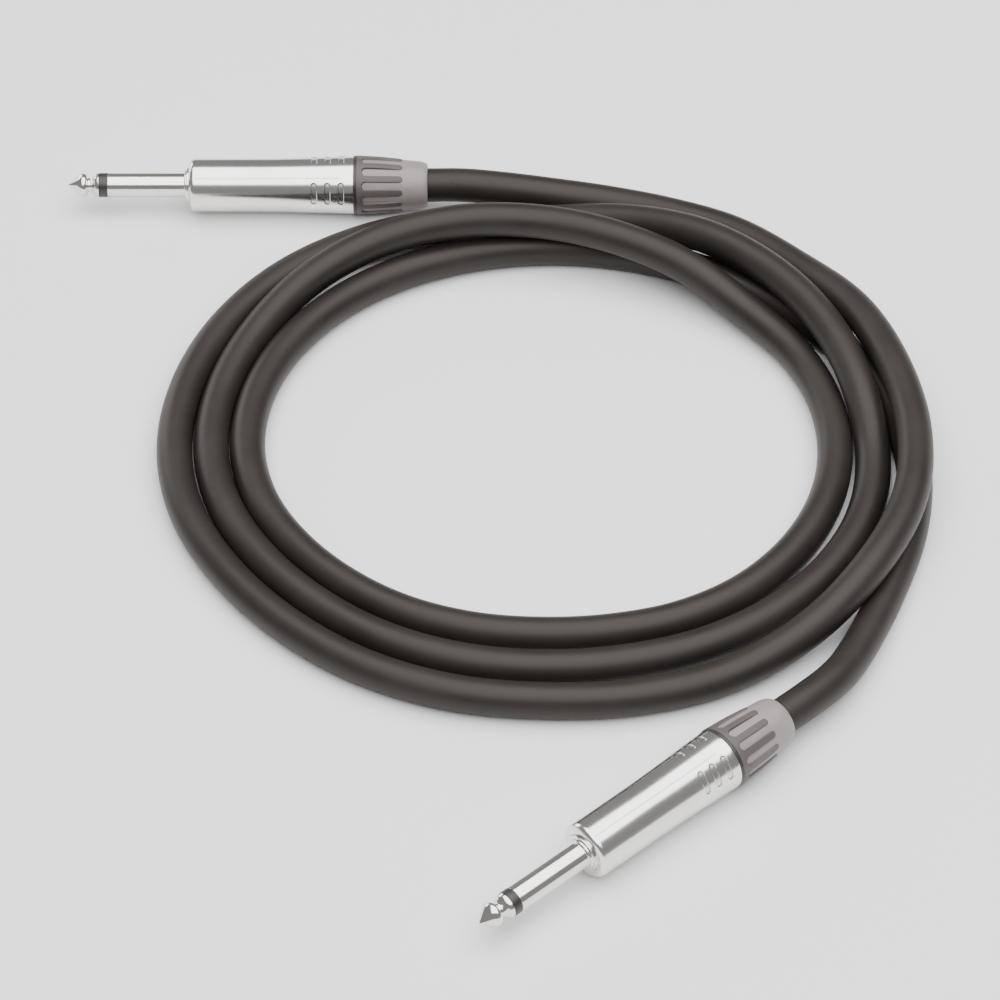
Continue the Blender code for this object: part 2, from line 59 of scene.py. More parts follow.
# The winding, clockwise from above: turn (whole turns start at +Y), radius and height of the centreline.
WINDING = (
    (0.125, 0.0929, 0.0076),
    (0.150, 0.0920, 0.0102),
    (0.180, 0.0910, 0.0125),
    (0.210, 0.0904, 0.0134),
    (0.250, 0.0912, 0.0135),
    (0.300, 0.0922, 0.0134),
    (0.330, 0.0916, 0.0126),
    (0.365, 0.0902, 0.0090),
    (0.400, 0.0886, 0.0054),
    (0.440, 0.0868, 0.0044),
    (0.500, 0.0841, 0.0044),
    (0.625, 0.0848, 0.0044),
    (0.750, 0.0903, 0.0044),
    (0.875, 0.0926, 0.0044),
    (1.000, 0.0868, 0.0046),
    (1.040, 0.0855, 0.0086),
    (1.080, 0.0836, 0.0126),
    (1.120, 0.0824, 0.0134),
    (1.160, 0.0816, 0.0128),
    (1.205, 0.0810, 0.0106),
    (1.250, 0.0816, 0.0052),
    (1.290, 0.0814, 0.0044),
    (1.375, 0.0782, 0.0044),
    (1.500, 0.0734, 0.0044),
    (1.625, 0.0751, 0.0044),
    (1.750, 0.0812, 0.0044),
    (1.800, 0.0826, 0.0044),
    (1.870, 0.0836, 0.0084),
    (1.920, 0.0824, 0.0116),
    (1.960, 0.0796, 0.0133),
    (2.000, 0.0766, 0.0136),
    (2.040, 0.0740, 0.0130),
    (2.080, 0.0727, 0.0112),
    (2.120, 0.0725, 0.0072),
    (2.150, 0.0734, 0.0047),
    (2.180, 0.0738, 0.0044),
    (2.210, 0.0732, 0.0044),
    (2.250, 0.0724, 0.0044),
    (2.375, 0.0680, 0.0044),
    (2.500, 0.0626, 0.0044),
    (2.625, 0.0656, 0.0044),
    (2.750, 0.0722, 0.0044),
    (2.875, 0.0753, 0.0044),
    (3.000, 0.0768, 0.0044),
    (3.080, 0.0790, 0.0044),
    (3.140, 0.0826, 0.0044),
    (3.200, 0.0876, 0.0044),
    (3.250, 0.0912, 0.0044),
    (3.320, 0.0944, 0.0044),
    (3.342, 0.0966, 0.0044),
    (3.360, 0.0996, 0.0048),
    (3.376, 0.1026, 0.0059),
)
STEPS_PER_TURN = 24

# The cable between each plug and the coil, seen from the coil's centre.
LEAD_A = (
    (-0.0110, 0.0977, 0.0070),
    (0.0030, 0.0970, 0.0054),
    (0.0180, 0.0948, 0.0045),
    (0.0340, 0.0898, 0.0047),
    (0.0500, 0.0813, 0.0058),
)
LEAD_B = ((0.0674, -0.0805, 0.0071),)
STRAIGHT_EXIT = 0.0090
INSIDE_PLUG = 0.0270

# ---- The plug's sizes --------------------------------------------------------------------------------
# They follow the CAD, but the CAD's clearances at the barrel's start and round the seal are drawn narrower.
FINGER_RADIUS = 0.003175
BARREL_START = 0.0104
SHOULDER = 0.0305
ROD_RADIUS = 0.0011
BARREL_BORE = 0.0023
SHELL_START = 0.0316
SHELL_END = 0.0743
SEAL_END = 0.0751
NUT_START = 0.0751
CABLE_BORE = 0.00475
GRIP_END = 0.0870
GRIP_FINGERS = 12
GRIP_HALF_WIDTH = 0.00090
GRIP_RING_END = 0.0765

# ---- The camera --------------------------------------------------------------------------------------
VIEW_ELEVATION = math.radians(44.0)
VIEW_DISTANCE = 1.2
VIEW_LENS = 176.3
VIEW_TARGET = COIL_CENTRE + Vector((-0.0101, -0.0120, 0.0))


# ---- The route of the cable ------------------------------------------------------------------------
def level_slopes(turns, values):
    """Slopes of a smooth curve that never swings past its own values, so nothing dips into the floor."""
    gaps = [b - a for a, b in zip(turns, turns[1:])]
    rises = [(b - a) / gap for a, b, gap in zip(values, values[1:], gaps)]
    slopes = [rises[0]]
    for i in range(1, len(gaps)):
        if rises[i - 1] * rises[i] <= 0.0:
            slopes.append(0.0)
            continue
        before = 2 * gaps[i] + gaps[i - 1]
        after = gaps[i] + 2 * gaps[i - 1]
        slopes.append((before + after) / (before / rises[i - 1] + after / rises[i]))
    slopes.append(rises[-1])
    return slopes


def smooth_value(turn, turns, values, slopes):
    """The smooth curve's value at a turn."""
    k = max(i for i in range(len(turns) - 1) if turns[i] <= turn + 1e-9)
    gap = turns[k + 1] - turns[k]
    s = min((turn - turns[k]) / gap, 1.0)
    return (
        (2 * s**3 - 3 * s**2 + 1) * values[k]
        + (s**3 - 2 * s**2 + s) * gap * slopes[k]
        + (3 * s**2 - 2 * s**3) * values[k + 1]
        + (s**3 - s**2) * gap * slopes[k + 1]
    )


def coil_points():
    """Points along the winding, a loop over its turns."""
    turns, radii, heights = zip(*WINDING)
    radius_slopes = level_slopes(turns, radii)
    height_slopes = level_slopes(turns, heights)
    count = round((turns[-1] - turns[0]) * STEPS_PER_TURN)
    points = []
    for step in range(count + 1):
        turn = turns[0] + (turns[-1] - turns[0]) * step / count
        radius = smooth_value(turn, turns, radii, radius_slopes)
        height = smooth_value(turn, turns, heights, height_slopes)
        angle = math.tau * turn
        points.append(Vector((radius * math.sin(angle), radius * math.cos(angle), height)))
    return points


def through(points, per_span):
    """A smooth curve through the points. Spans are weighted by the square root of their length, which
    keeps short and long spans equally round."""
    gaps = [math.sqrt((b - a).length) for a, b in zip(points, points[1:])]
    slopes = [(points[1] - points[0]) / gaps[0]]
    for i in range(1, len(points) - 1):
        before = (points[i] - points[i - 1]) / gaps[i - 1]
        after = (points[i + 1] - points[i]) / gaps[i]
        slopes.append((before * gaps[i] + after * gaps[i - 1]) / (gaps[i - 1] + gaps[i]))
    slopes.append((points[-1] - points[-2]) / gaps[-1])
    line = []
    for i, gap in enumerate(gaps):
        for step in range(per_span):
            s = step / per_span
            line.append(
                (2 * s**3 - 3 * s**2 + 1) * points[i]
                + (s**3 - 2 * s**2 + s) * gap * slopes[i]
                + (3 * s**2 - 2 * s**3) * points[i + 1]
                + (s**3 - s**2) * gap * slopes[i + 1]
            )
    line.append(points[-1])
    return line


def cable_line():
    """The whole centreline, from inside plug A to inside plug B."""
    points = [REAR_A + POINTS_A * INSIDE_PLUG, REAR_A, REAR_A - POINTS_A * STRAIGHT_EXIT]
    points += [Vector(point) for point in LEAD_A]
    points += coil_points()
    points += [Vector(point) for point in LEAD_B]
    points += [REAR_B - POINTS_B * STRAIGHT_EXIT, REAR_B, REAR_B + POINTS_B * INSIDE_PLUG]
    return [COIL_CENTRE + point for point in through(points, 8)]


# ---- Mesh helpers ----------------------------------------------------------------------------------
def add_mesh(name, shape, material, smooth_angle=40.0):
    """Turns a bmesh into a smooth-shaded object with one material."""
    bmesh.ops.recalc_face_normals(shape, faces=shape.faces)
    mesh = bpy.data.meshes.new(name)
    shape.to_mesh(mesh)
    shape.free()
    mesh.shade_smooth()
    mesh.set_sharp_from_angle(angle=math.radians(smooth_angle))
    mesh.materials.append(material)
    made = bpy.data.objects.new(name, mesh)
    bpy.context.collection.objects.link(made)
    return made


def rounded(outline, corner_steps=4):
    """An outline of (along, radius, rounding) with each corner that has a rounding turned into an arc."""
    points = [Vector((along, radius)) for along, radius, _ in outline]
    result = []
    for i, (_, _, rounding) in enumerate(outline):
        here = points[i]
        before = points[i - 1]
        after = points[(i + 1) % len(points)]
        if rounding == 0.0:
            result.append(here)
            continue
        to_before = (before - here).normalized()
        to_after = (after - here).normalized()
        start = here + to_before * rounding
        end = here + to_after * rounding
        for step in range(corner_steps + 1):
            s = step / corner_steps
            result.append((1 - s) ** 2 * start + 2 * s * (1 - s) * here + s**2 * end)
    return [(point[0], point[1]) for point in result]


def turned(name, outline, material, sides=128, surface=None):
    """A body turned about +Z from (along, radius) points, closed round a bore or open on the axis. surface
    gives the radius and the groove mark, a mask for painted shade, at (along, radius, angle) where the body
    isn't perfectly round."""
    shape = bmesh.new()
    groove = shape.verts.layers.float.new("groove")
    open_ended = outline[0][1] == 0.0
    rings = []
    for along, radius in outline:
        if radius < 1e-7:
            rings.append([shape.verts.new((0.0, 0.0, along))])
            continue
        ring = []
        for k in range(sides):
            angle = math.tau * k / sides
            reach, mark = surface(along, radius, angle) if surface else (radius, 0.0)
            vertex = shape.verts.new((reach * math.cos(angle), reach * math.sin(angle), along))
            vertex[groove] = mark
            ring.append(vertex)
        rings.append(ring)
    pairs = list(zip(rings, rings[1:]))
    if not open_ended:
        pairs.append((rings[-1], rings[0]))
    for low, high in pairs:
        for k in range(sides):
            after = (k + 1) % sides
            corners = [low[k % len(low)], low[after % len(low)], high[after % len(high)], high[k % len(high)]]
            shape.faces.new(list(dict.fromkeys(corners)))
    return add_mesh(name, shape, material)


def swept(name, line, radius, sides, material):
    """A round tube along a line, with UVs in metres along it and in turns round it."""
    shape = bmesh.new()
    uv = shape.loops.layers.uv.new("Along")
    rings = []
    travelled = [0.0]
    up = Vector((0.0, 0.0, 1.0))
    for i, point in enumerate(line):
        ahead = (line[min(i + 1, len(line) - 1)] - line[max(i - 1, 0)]).normalized()
        side = ahead.cross(up).normalized()
        top = side.cross(ahead)
        if i:
            travelled.append(travelled[-1] + (point - line[i - 1]).length)
        ring = []
        for k in range(sides):
            angle = math.tau * k / sides
            ring.append(shape.verts.new(point + radius * (math.cos(angle) * side + math.sin(angle) * top)))
        rings.append(ring)
    for i, (low, high) in enumerate(zip(rings, rings[1:])):
        for k in range(sides):
            after = (k + 1) % sides
            face = shape.faces.new((low[k], low[after], high[after], high[k]))
            marks = (
                (travelled[i], k / sides),
                (travelled[i], (k + 1) / sides),
                (travelled[i + 1], (k + 1) / sides),
                (travelled[i + 1], k / sides),
            )
            for loop, mark in zip(face.loops, marks):
                loop[uv].uv = mark
    shape.faces.new(rings[0])
    shape.faces.new(rings[-1])
    return add_mesh(name, shape, material), travelled[-1]


# ---- Materials -------------------------------------------------------------------------------------
class Finish:
    """A material under construction: a Principled shader and short calls that add nodes to it."""

    def __init__(self, name, colour, roughness, metallic=0.0):
        self.material = bpy.data.materials.new(name)
        self.material.use_nodes = True
        self.nodes = self.material.node_tree.nodes
        self.links = self.material.node_tree.links
        self.shader = self.nodes["Principled BSDF"]
        self.shader.inputs["Base Color"].default_value = (*colour, 1.0)
        self.shader.inputs["Roughness"].default_value = roughness
        self.shader.inputs["Metallic"].default_value = metallic
        self.height = None

    def place(self, scale=(1.0, 1.0, 1.0), source="Object"):
        """Texture coordinates, stretched by scale."""
        coordinates = self.nodes.new("ShaderNodeTexCoord")
        mapping = self.nodes.new("ShaderNodeMapping")
        mapping.inputs["Scale"].default_value = scale
        self.links.new(coordinates.outputs[source], mapping.inputs["Vector"])
        return mapping.outputs["Vector"]

    def around(self, along_scale, around_scale):
        """Coordinates that run round the plug's axis and along it, for brushing and scratches."""
        split = self.nodes.new("ShaderNodeSeparateXYZ")
        self.links.new(self.place(), split.inputs[0])
        angle = self.math("ARCTAN2", split.outputs["Y"], split.outputs["X"])
        joined = self.nodes.new("ShaderNodeCombineXYZ")
        self.links.new(self.math("MULTIPLY", self.math("SINE", angle), around_scale), joined.inputs["X"])
        self.links.new(self.math("MULTIPLY", self.math("COSINE", angle), around_scale), joined.inputs["Y"])
        self.links.new(self.math("MULTIPLY", split.outputs["Z"], along_scale), joined.inputs["Z"])
        return joined.outputs[0]

    def math(self, operation, first, second=None):
        node = self.nodes.new("ShaderNodeMath")
        node.operation = operation
        for socket, value in zip(node.inputs, (first, second)):
            if value is None:
                continue
            if isinstance(value, (int, float)):
                socket.default_value = value
            else:
                self.links.new(value, socket)
        return node.outputs[0]

    def noise(self, vector, scale, detail=4.0, rough=0.55):
        node = self.nodes.new("ShaderNodeTexNoise")
        node.inputs["Scale"].default_value = scale
        node.inputs["Detail"].default_value = detail
        node.inputs["Roughness"].default_value = rough
        self.links.new(vector, node.inputs["Vector"])
        return node.outputs["Fac"]

    def remap(self, value, low_in, high_in, low_out, high_out):
        node = self.nodes.new("ShaderNodeMapRange")
        for name, amount in zip(
            ("From Min", "From Max", "To Min", "To Max"), (low_in, high_in, low_out, high_out)
        ):
            node.inputs[name].default_value = amount
        self.links.new(value, node.inputs["Value"])
        return node.outputs["Result"]

    def colour_between(self, value, first, second):
        ramp = self.nodes.new("ShaderNodeValToRGB")
        ramp.color_ramp.elements[0].color = (*first, 1.0)
        ramp.color_ramp.elements[1].color = (*second, 1.0)
        self.links.new(value, ramp.inputs["Fac"])
        return ramp.outputs["Color"]

    def set(self, name, value):
        self.links.new(value, self.shader.inputs[name])

    def bump(self, value, distance, strength=1.0):
        """Adds a height, in metres, on top of those added before."""
        node = self.nodes.new("ShaderNodeBump")
        node.inputs["Distance"].default_value = distance
        node.inputs["Strength"].default_value = strength
        self.links.new(value, node.inputs["Height"])
        if self.height is not None:
            self.links.new(self.height, node.inputs["Normal"])
        self.height = node.outputs["Normal"]
        self.links.new(self.height, self.shader.inputs["Normal"])


def cable_jacket():
    """Satin flexible PVC: warm black, faint die lines along the cable, soft mottling and a few scuffs."""
    finish = Finish("cable_jacket", (0.020, 0.0165, 0.0145), 0.5)
    finish.shader.inputs["Specular IOR Level"].default_value = 0.34
    finish.shader.inputs["Specular Tint"].default_value = (1.0, 0.92, 0.87, 1.0)
    along = finish.place((1.0, 0.11, 1.0), "UV")
    mottle = finish.noise(finish.place(), 60.0, 3.0)
    finish.set(
        "Base Color",
        finish.colour_between(
            finish.remap(mottle, 0.3, 0.7, 0.0, 1.0), (0.0140, 0.0112, 0.0096), (0.0205, 0.0166, 0.0143)
        ),
    )
    grain = finish.noise(finish.place(), 3200.0, 3.0)
    scuffs = finish.noise(finish.place(), 240.0, 5.0, 0.7)
    rough = finish.math(
        "ADD", finish.remap(mottle, 0.3, 0.7, 0.44, 0.52), finish.remap(scuffs, 0.60, 0.78, 0.0, 0.14)
    )
    finish.set("Roughness", rough)
    lines = finish.noise(along, 260.0, 2.0)
    finish.bump(lines, 0.00002, 0.35)
    finish.bump(grain, 0.00003, 0.30)
    return finish.material


def polished_nickel():
    """The finger's bright nickel, with fine turning lines and faint marks along it from the socket."""
    finish = Finish("contact_nickel", (0.80, 0.78, 0.75), 0.13, 1.0)
    turning = finish.noise(finish.around(9000.0, 0.6), 1.0, 3.0)
    cloud = finish.noise(finish.place(), 180.0, 3.0)
    streaks = finish.noise(finish.around(60.0, 90.0), 1.0, 4.0, 0.7)
    finish.set(
        "Base Color",
        finish.colour_between(
            finish.remap(cloud, 0.3, 0.7, 0.0, 1.0), (0.76, 0.735, 0.70), (0.83, 0.815, 0.79)
        ),
    )
    rough = finish.math(
        "ADD", finish.remap(turning, 0.2, 0.8, 0.09, 0.16), finish.remap(streaks, 0.62, 0.75, 0.0, 0.12)
    )
    finish.set("Roughness", rough)
    finish.bump(turning, 0.000004, 0.4)
    return finish.material


def shell_nickel():
    """The shell's nickel: polished, with brushing round the axis, light handling marks, and painted shade in
    its slots and hairline.
    """
    finish = Finish("shell_nickel", (0.80, 0.785, 0.76), 0.2, 1.0)
    brushing = finish.noise(finish.around(7000.0, 1.2), 1.0, 4.0, 0.6)
    cloud = finish.noise(finish.place(), 90.0, 4.0)
    handling = finish.noise(finish.place((1.0, 1.0, 0.3)), 700.0, 6.0, 0.75)
    groove = finish.nodes.new("ShaderNodeAttribute")
    groove.attribute_name = "groove"
    unshaded_nickel = finish.colour_between(
        finish.remap(cloud, 0.3, 0.7, 0.0, 1.0), (0.76, 0.74, 0.715), (0.83, 0.815, 0.795)
    )
    # Painted shade: the groove mark mixes the nickel colour towards dark grey on the slots' walls and floors
    # and in the hairline.
    groove_shade = finish.nodes.new("ShaderNodeMix")
    groove_shade.data_type = "RGBA"
    groove_shade.inputs["B"].default_value = (0.16, 0.145, 0.135, 1.0)
    finish.links.new(finish.math("MULTIPLY", groove.outputs["Fac"], 0.8), groove_shade.inputs["Factor"])
    finish.links.new(unshaded_nickel, groove_shade.inputs["A"])
    finish.set("Base Color", groove_shade.outputs["Result"])
    rough = finish.math(
        "ADD", finish.remap(brushing, 0.2, 0.8, 0.13, 0.22), finish.remap(handling, 0.62, 0.8, 0.0, 0.14)
    )
    finish.set("Roughness", finish.math("ADD", rough, finish.math("MULTIPLY", groove.outputs["Fac"], 0.2)))
    finish.bump(brushing, 0.000005, 0.35)
    return finish.material


def moulded(name, dark, light, roughness, grain_scale=2600.0, grain_depth=0.00003):
    """A moulded plastic or rubber between two shades, with a fine spark-eroded texture."""
    finish = Finish(name, dark, roughness)
    cloud = finish.noise(finish.place(), 220.0, 4.0)
    fleck = finish.noise(finish.place(), 5200.0, 2.0)
    mix = finish.math(
        "ADD", finish.remap(cloud, 0.3, 0.7, 0.0, 0.7), finish.remap(fleck, 0.3, 0.7, 0.0, 0.3)
    )
    finish.set("Base Color", finish.colour_between(mix, dark, light))
    finish.set("Roughness", finish.remap(cloud, 0.3, 0.7, roughness - 0.05, roughness + 0.07))
    finish.bump(finish.noise(finish.place(), grain_scale, 3.0), grain_depth, 0.4)
    return finish.material


def stamped_metal(name, dark, light, roughness):
    """Sheet or cast metal inside the plug, with tarnish and drawn lines."""
    finish = Finish(name, dark, roughness, 1.0)
    cloud = finish.noise(finish.place(), 500.0, 5.0, 0.65)
    drawn = finish.noise(finish.place((1.0, 1.0, 0.06)), 9000.0, 2.0)
    finish.set("Base Color", finish.colour_between(finish.remap(cloud, 0.3, 0.7, 0.0, 1.0), dark, light))
    finish.set("Roughness", finish.remap(cloud, 0.3, 0.7, roughness, roughness + 0.2))
    finish.bump(drawn, 0.00001, 0.4)
    return finish.material


def twisted_copper():
    """The screen's strands, wound round each other."""
    finish = Finish("shield_copper", (0.75, 0.42, 0.28), 0.35, 1.0)
    wave = finish.nodes.new("ShaderNodeTexWave")
    wave.inputs["Scale"].default_value = 900.0
    wave.inputs["Distortion"].default_value = 1.5
    finish.links.new(finish.place((1.0, 1.0, 0.7)), wave.inputs["Vector"])
    finish.set(
        "Base Color", finish.colour_between(wave.outputs["Fac"], (0.45, 0.20, 0.11), (0.80, 0.46, 0.31))
    )
    finish.bump(wave.outputs["Fac"], 0.0001, 0.8)
    return finish.material


def floor_finish():
    """Matte studio paper."""
    finish = Finish("studio_floor", (0.9, 0.9, 0.9), 0.85)
    fibres = finish.noise(finish.place(), 900.0, 4.0)
    finish.set("Base Color", finish.colour_between(fibres, (0.89, 0.89, 0.89), (0.92, 0.92, 0.92)))
    finish.bump(fibres, 0.00002, 0.2)
    return finish.material


# ---- The plug's visible parts ----------------------------------------------------------------------
def tip_contact(material):
    """Pointed tip, rounded shoulder, narrow waist and bell, with the rod inside the plug."""
    outline = (
        (0.0000, 0.0, 0.0),
        (0.0002, 0.00032, 0.00012),
        (0.0031, 0.00285, 0.0007),
        (0.0041, 0.00318, 0.00050),
        (0.0050, 0.00270, 0.00040),
        (0.0052, 0.00187, 0.00025),
        (0.0059, 0.00185, 0.0002),
        (0.0065, 0.00222, 0.0004),
        (0.0072, 0.00298, 0.00035),
        (0.0081, 0.003175, 0.00006),
        (0.0081, ROD_RADIUS, 0.0),
        (0.0434, ROD_RADIUS, 0.0),
        (0.0434, 0.0019, 0.0002),
        (0.0444, 0.0017, 0.0003),
        (0.0444, 0.0, 0.0),
    )
    return turned("tip", rounded(outline, 6), material, 96)


def tip_insulator(material):
    """The black ring behind the tip, and the tube that lines the finger."""
    outline = (
        (0.00815, 0.0014, 0.0),
        (0.00815, FINGER_RADIUS - 0.00002, 0.00005),
        (0.01035, FINGER_RADIUS - 0.00002, 0.00005),
        (0.01035, 0.0020, 0.0),
        (0.0399, 0.0020, 0.0001),
        (0.0399, 0.0014, 0.0),
    )
    return turned("tip_ring", rounded(outline), material, 96)


def finger_sleeve(material):
    """The barrel with its two collars. The flange and boss behind them are inside the shell."""
    outline = (
        (BARREL_START, BARREL_BORE, 0.0),
        (BARREL_START, FINGER_RADIUS, 0.00008),
        (SHOULDER, FINGER_RADIUS, 0.0002),
        (SHOULDER, 0.0039, 0.00015),
        (SHOULDER + 0.0005, 0.0039, 0.0001),
        (SHOULDER + 0.0005, 0.00465, 0.00015),
        (0.0331, 0.00465, 0.0),
        (0.0331, 0.0060, 0.0001),
        (0.0360, 0.0060, 0.0001),
        (0.0360, 0.0045, 0.0),
        (0.0390, 0.0045, 0.0001),
        (0.0390, BARREL_BORE, 0.0),
    )
    return turned("finger", rounded(outline), material, 128)


BODY_RADIUS = 0.00695
FLARE_START = 0.0500
FLARE_RISE = 0.00060
# The flare's rows are coarse up to the slots and fine along them.
COARSE_STEP = 0.0013
COARSE_ROWS = 9
FINE_START = 0.0630
FINE_STEP = 0.0001
FINE_ROWS = 106
# Anything nearer the axis than this is a chamfer or the bore, and has no slots.
SLOTTED_RADIUS = 0.0069
SLOT_CENTRES = (0.0641, 0.0676, 0.0711)
SLOT_HALF_WIDTH = 0.00068
SLOT_HALF_ANGLE = math.radians(23.0)
SLOT_SETS = 4
SLOT_FIRST = math.radians(62.0)
SLOT_DEPTH = 0.00020
SLOT_EDGE = 0.00018
LINE_ANGLE = math.radians(28.7)
LINE_HALF_WIDTH = 0.00009
LINE_DEPTH = 0.00006
LINE_END = 0.0705


def past_edge(distance, edge):
    """1 on the inner side of an edge, 0 on the outer, and smooth between."""
    s = min(max(0.5 - distance / edge, 0.0), 1.0)
    return s * s * (3 - 2 * s)


def slot_depth(along, radius, angle):
    """How far in one of the shell's round-ended grip slots a point lies, from 0 to 1."""
    pitch = math.tau / SLOT_SETS
    turn = (angle - SLOT_FIRST + pitch / 2) % pitch - pitch / 2
    across = max(abs(turn) * radius - (SLOT_HALF_ANGLE * radius - SLOT_HALF_WIDTH), 0.0)
    nearest = min(math.hypot(along - centre, across) for centre in SLOT_CENTRES)
    return past_edge(nearest - SLOT_HALF_WIDTH, SLOT_EDGE)


def shell_surface(along, radius, angle):
    """The shell's outer surface, with its grip slots and one hairline along it. The mark is painted shade,
    darkest on the slots' walls and in the hairline."""
    if radius < SLOTTED_RADIUS:
        return radius, 0.0
    depth = slot_depth(along, radius, angle)
    reach = radius - SLOT_DEPTH * depth
    # Painted shade mask: strongest on the slots' walls, a quarter as strong on their floors.
    mark = 4 * depth * (1 - depth) + 0.25 * depth
    if along < LINE_END:
        line = past_edge(abs(angle - LINE_ANGLE) * radius - LINE_HALF_WIDTH, 2 * LINE_HALF_WIDTH)
        reach -= LINE_DEPTH * line
        # The hairline gets painted shade as well.
        mark = max(mark, 0.8 * line)
    return reach, mark


def shell(material):
    """The housing: a chamfered front, a straight body, a gentle flare, and rows of shallow grip slots."""
    front = (
        (SHELL_START + 0.0012, 0.0063, 0.0),
        (SHELL_START + 0.0012, 0.00472, 0.0),
        (SHELL_START, 0.00472, 0.00005),
        (SHELL_START, 0.0058, 0.00025),
        (0.0321, 0.00665, 0.0003),
        (0.0328, 0.00693, 0.0003),
        (FLARE_START, BODY_RADIUS, 0.0),
    )
    places = [FLARE_START + COARSE_STEP * step for step in range(1, COARSE_ROWS + 1)]
    places += [FINE_START + FINE_STEP * step for step in range(FINE_ROWS)]
    rows = [(along, flare_radius(along), 0.0) for along in places]
    rear = (
        (SHELL_END, 0.00755, 0.0001),
        (SHELL_END, 0.00675, 0.0),
        (0.0650, 0.00675, 0.0),
        (0.0650, 0.0063, 0.0),
    )
    return turned("shell_body", rounded((*front, *rows, *rear)), material, 360, shell_surface)


def flare_radius(along):
    """The shell's radius behind its straight body."""
    s = max(along - FLARE_START, 0.0) / (SHELL_END - FLARE_START)
    return BODY_RADIUS + FLARE_RISE * s**1.45


def seal_ring(material):
    """The dark ring between the shell and the nut."""
    outline = (
        (SHELL_END, 0.00675, 0.0),
        (SHELL_END, 0.00764, 0.0002),
        (SEAL_END, 0.00772, 0.0002),
        (SEAL_END, 0.00675, 0.0),
    )
    return turned("seal", rounded(outline), material, 128)


BOOT_RADIUS = 0.00722
BOOT_TAPER = 0.00118
RIM_LENGTH = 0.0026
RIM_DROP = 0.00085
BOOT_START = NUT_START + 0.0002
SKIRT_START = 0.0690
SKIRT_RADIUS = 0.00645
SKIRT_BORE = 0.00585
REAR_BORE = CABLE_BORE - 0.0002


def boot_radius(along):
    """The light grey boot's radius, from the nut's shoulder to its rounded rear rim."""
    s = max(along - NUT_START, 0.0) / (PLUG_LENGTH - NUT_START)
    body = BOOT_RADIUS - BOOT_TAPER * s**1.5
    left = (PLUG_LENGTH - along) / RIM_LENGTH
    if left < 1.0:
        body -= RIM_DROP * (1 - math.sqrt(max(1 - (1 - left) ** 2, 0.0)))
    return body


def gland_nut(material):
    """The nut's skirt, its tapered boot and its rounded rim."""
    places = [0.0755 + 0.0005 * step for step in range(31)]
    places += [0.0912 + 0.0001 * step for step in range(23)]
    rows = [(BOOT_START, boot_radius(NUT_START), 0.0)]
    rows += [(along, boot_radius(along), 0.0) for along in places]
    ends = (
        (PLUG_LENGTH, boot_radius(PLUG_LENGTH), 0.0001),
        (PLUG_LENGTH, REAR_BORE, 0.00012),
        (0.0851, REAR_BORE, 0.0),
        (0.0845, 0.0054, 0.0),
        (0.0760, SKIRT_BORE, 0.0),
        (SKIRT_START, SKIRT_BORE, 0.0),
        (SKIRT_START, SKIRT_RADIUS, 0.0002),
        (BOOT_START, SKIRT_RADIUS, 0.0),
    )
    return turned("nut_boot", rounded((*rows, *ends)), material, 144)


def grip_radius(along):
    """The grip's outer radius, which runs into the boot at the fingers' ends."""
    s = max(along - NUT_START, 0.0) / (GRIP_END - NUT_START)
    return 0.00770 - 0.00010 * s - 0.00080 * s**1.9


def grip_surface(along, radius, angle):
    """Raised where the ring and the round-ended fingers are, and just under the boot's surface between."""
    outer = grip_radius(along)
    under = boot_radius(along) - 0.00012
    if radius < under - 0.0003:
        return radius, 0.0
    pitch = math.tau / GRIP_FINGERS
    half_pitch = pitch / 2 * outer
    across = abs((angle + pitch / 2) % pitch - pitch / 2) * outer
    past_tip = along - (GRIP_END - GRIP_HALF_WIDTH)
    gap_half = half_pitch - GRIP_HALF_WIDTH
    if past_tip > 0.0:
        outside = math.hypot(across, past_tip) - GRIP_HALF_WIDTH
    else:
        before_gap = max(GRIP_RING_END + gap_half - along, 0.0)
        outside = gap_half - math.hypot(half_pitch - across, before_gap)
    raised = past_edge(outside, 0.00020)
    return under + (outer - under) * raised, 0.0


def nut_grip(material):
    """The soft dark ring with raised round-ended fingers."""
    count = 80
    step_length = (GRIP_END + 0.0002 - NUT_START) / count
    rows = [(NUT_START, grip_radius(NUT_START) - 0.0001, 0.0)]
    rows += [
        (NUT_START + 0.0001 + step_length * step, grip_radius(NUT_START + step_length * step), 0.0)
        for step in range(count)
    ]
    inner = [(along, boot_radius(along) - 0.0007, 0.0) for along in (GRIP_END + 0.0002, NUT_START)]
    return turned("nut_grip_rubber", rounded((*rows, *inner)), material, 360, grip_surface)


# ---- Putting it together ---------------------------------------------------------------------------
def plug_frame(rear, points_to, roll):
    """The frame of a plug lying on the floor: Z along its axis towards the cable, X up before the roll."""
    along = -points_to
    up = Vector((0.0, 0.0, 1.0))
    side = along.cross(up)
    place = COIL_CENTRE + rear + points_to * PLUG_LENGTH
    laid = Matrix((up, side, along)).transposed().to_4x4()
    return Matrix.Translation(place) @ laid @ Matrix.Rotation(roll, 4, "Z")


